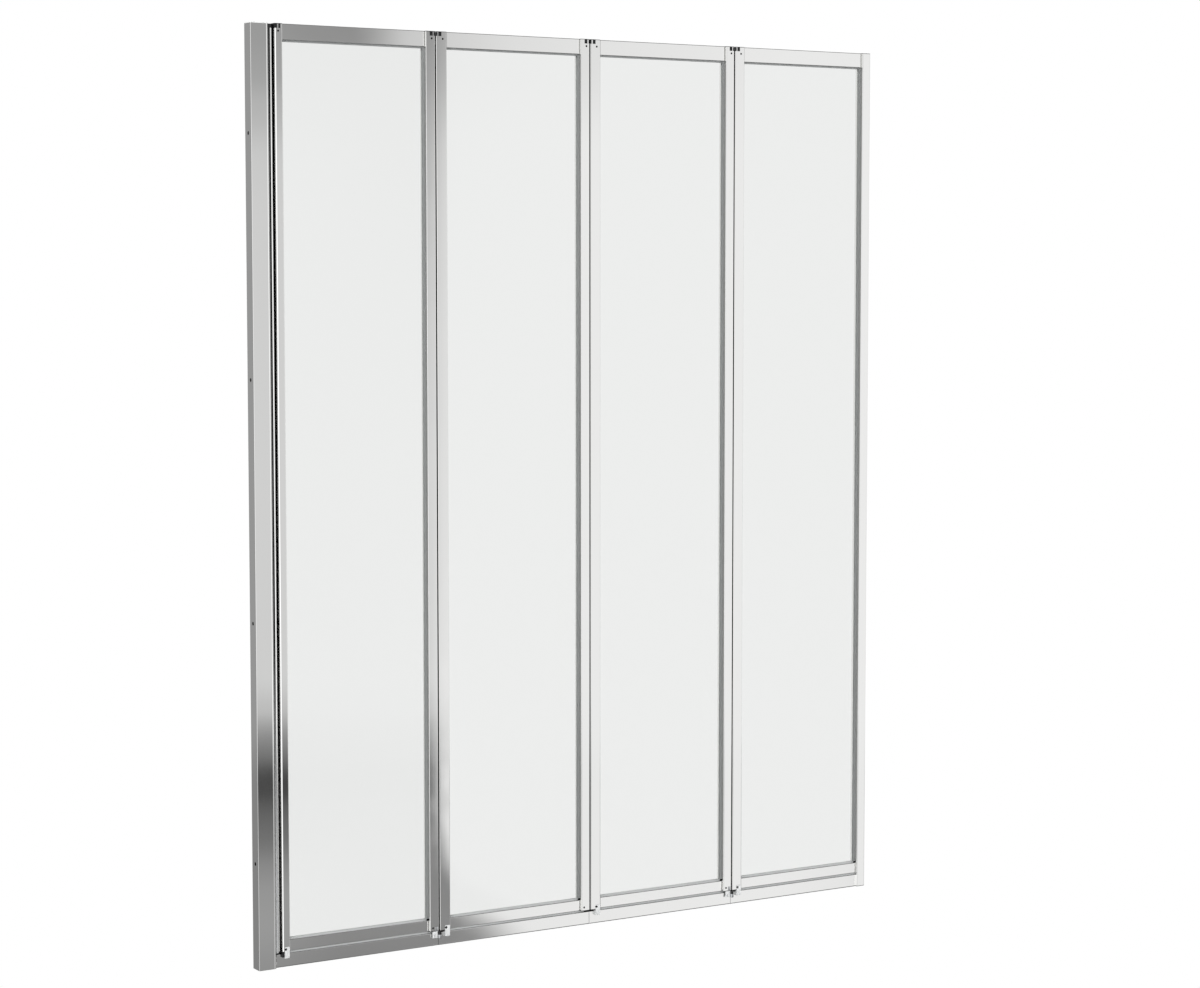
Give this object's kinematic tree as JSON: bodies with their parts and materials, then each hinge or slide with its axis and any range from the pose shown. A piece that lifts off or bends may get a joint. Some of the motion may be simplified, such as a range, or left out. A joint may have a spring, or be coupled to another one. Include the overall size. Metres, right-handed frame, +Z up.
{
  "type": "folding bath screen",
  "caption": "Folding bath screen: tall framed glass panels hinged edge to edge from a wall profile, so they concertina back to the wall, with a sealed drip rail along the bottom.",
  "frame": {"origin": "on the wall face, at mid-depth of the profiles, level with the underside of the seals that rest on the bath's rim", "axes": "+X runs out from the wall along the bath's rim, -Y faces the room and the pictured side, +Z is up"},
  "size_m": [1.12, 0.0286, 1.4],
  "materials": {
    "chrome_profile": "polished and bright anodised aluminium with a chrome look, almost mirror bright",
    "clear_glass": "clear toughened safety glass",
    "grey_vinyl": "soft grey glazing vinyl",
    "black_nylon": "black moulded nylon",
    "black_rubber": "soft black sealing strip",
    "steel_hardware": "plain bright stainless steel"
  },
  "bodies": {
    "wall_frame": {"wall_profile": "chrome_profile", "wall_profile_cap": "grey_vinyl", "adjusting_screws": "steel_hardware"},
    "expander": {"expander_profile": "chrome_profile", "expander_hinge_blocks": "black_nylon", "wall_hinge_pins": "steel_hardware", "wall_gap_seal": "black_rubber"},
    "panel1": {"panel1_left_stile": "chrome_profile", "panel1_right_stile": "chrome_profile", "panel1_top_rail": "chrome_profile", "panel1_bottom_rail": "chrome_profile", "panel1_glass": "clear_glass", "panel1_glazing_gasket": "grey_vinyl", "panel1_end_caps": "black_nylon", "panel1_screws": "steel_hardware", "panel1_drip_rail": "chrome_profile", "panel1_seals": "black_rubber", "panel1_drip_clip": "chrome_profile", "hinge1_left_leaves": "steel_hardware", "hinge1_pins": "steel_hardware"},
    "panel2": {"panel2_left_stile": "chrome_profile", "panel2_right_stile": "chrome_profile", "panel2_top_rail": "chrome_profile", "panel2_bottom_rail": "chrome_profile", "panel2_glass": "clear_glass", "panel2_glazing_gasket": "grey_vinyl", "panel2_end_caps": "black_nylon", "panel2_screws": "steel_hardware", "panel2_drip_rail": "chrome_profile", "panel2_seals": "black_rubber", "panel2_drip_clip": "chrome_profile", "hinge2_left_leaves": "steel_hardware", "hinge2_pins": "steel_hardware", "hinge1_right_leaves": "steel_hardware"},
    "panel3": {"panel3_left_stile": "chrome_profile", "panel3_right_stile": "chrome_profile", "panel3_top_rail": "chrome_profile", "panel3_bottom_rail": "chrome_profile", "panel3_glass": "clear_glass", "panel3_glazing_gasket": "grey_vinyl", "panel3_end_caps": "black_nylon", "panel3_screws": "steel_hardware", "panel3_drip_rail": "chrome_profile", "panel3_seals": "black_rubber", "panel3_drip_clip": "chrome_profile", "hinge3_left_leaves": "steel_hardware", "hinge3_pins": "steel_hardware", "hinge2_right_leaves": "steel_hardware"},
    "panel4": {"panel4_left_stile": "chrome_profile", "panel4_right_stile": "chrome_profile", "panel4_top_rail": "chrome_profile", "panel4_bottom_rail": "chrome_profile", "panel4_glass": "clear_glass", "panel4_glazing_gasket": "grey_vinyl", "panel4_end_caps": "black_nylon", "panel4_screws": "steel_hardware", "panel4_drip_rail": "chrome_profile", "panel4_seals": "black_rubber", "panel4_drip_clip": "chrome_profile", "hinge3_right_leaves": "steel_hardware"}
  },
  "joints": [
    {"name": "expander_slide", "type": "slide", "parent": "wall_frame", "child": "expander", "axis": [1, 0, 0], "range_m": [0, 0.012]},
    {"name": "wall_hinge", "type": "hinge", "parent": "expander", "child": "panel1", "pos_m": [0.0425, 0.00713, 0.7], "axis": [0, 0, 1], "range_deg": [0, 90]},
    {"name": "hinge_1_2", "type": "hinge", "parent": "panel1", "child": "panel2", "pos_m": [0.30388, -0.01175, 0.7], "axis": [0, 0, -1], "range_deg": [0, 180]},
    {"name": "hinge_2_3", "type": "hinge", "parent": "panel2", "child": "panel3", "pos_m": [0.57625, 0.01175, 0.7], "axis": [0, 0, 1], "range_deg": [0, 180]},
    {"name": "hinge_3_4", "type": "hinge", "parent": "panel3", "child": "panel4", "pos_m": [0.84862, -0.01175, 0.7], "axis": [0, 0, -1], "range_deg": [0, 180]}
  ]
}
